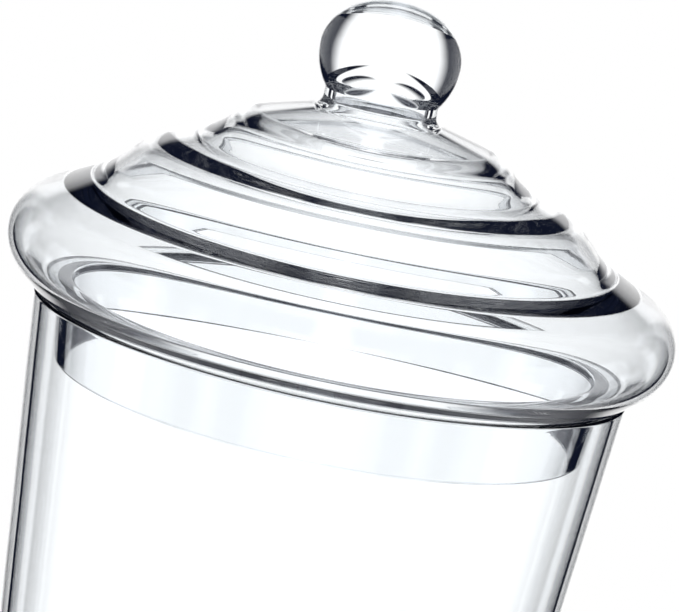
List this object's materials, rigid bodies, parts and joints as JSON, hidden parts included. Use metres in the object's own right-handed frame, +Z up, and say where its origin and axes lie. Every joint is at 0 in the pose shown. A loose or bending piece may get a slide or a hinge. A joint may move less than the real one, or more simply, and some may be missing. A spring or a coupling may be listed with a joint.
{
  "type": "apothecary jar",
  "caption": "Footed clear glass apothecary jar with a tapered bowl and a lift-off stepped lid with a rolled rim, an inner collar and a ball knob.",
  "frame": {"origin": "centre of the foot's resting ring, on the table", "axes": "+Z up the axis of the jar, towards the knob"},
  "size_m": [0.13, 0.13, 0.271],
  "materials": {
    "clear_glass": "clear fire-polished soda-lime glass"
  },
  "bodies": {
    "jar": {"jar_bowl": "clear_glass", "jar_stem": "clear_glass", "jar_foot": "clear_glass"},
    "lid": {"lid_shell": "clear_glass", "lid_collar": "clear_glass", "lid_knob": "clear_glass"}
  },
  "joints": [
    {"name": "lid_lift", "type": "slide", "parent": "jar", "child": "lid", "axis": [0, 0, 1], "range_m": [0, 0.1]}
  ]
}
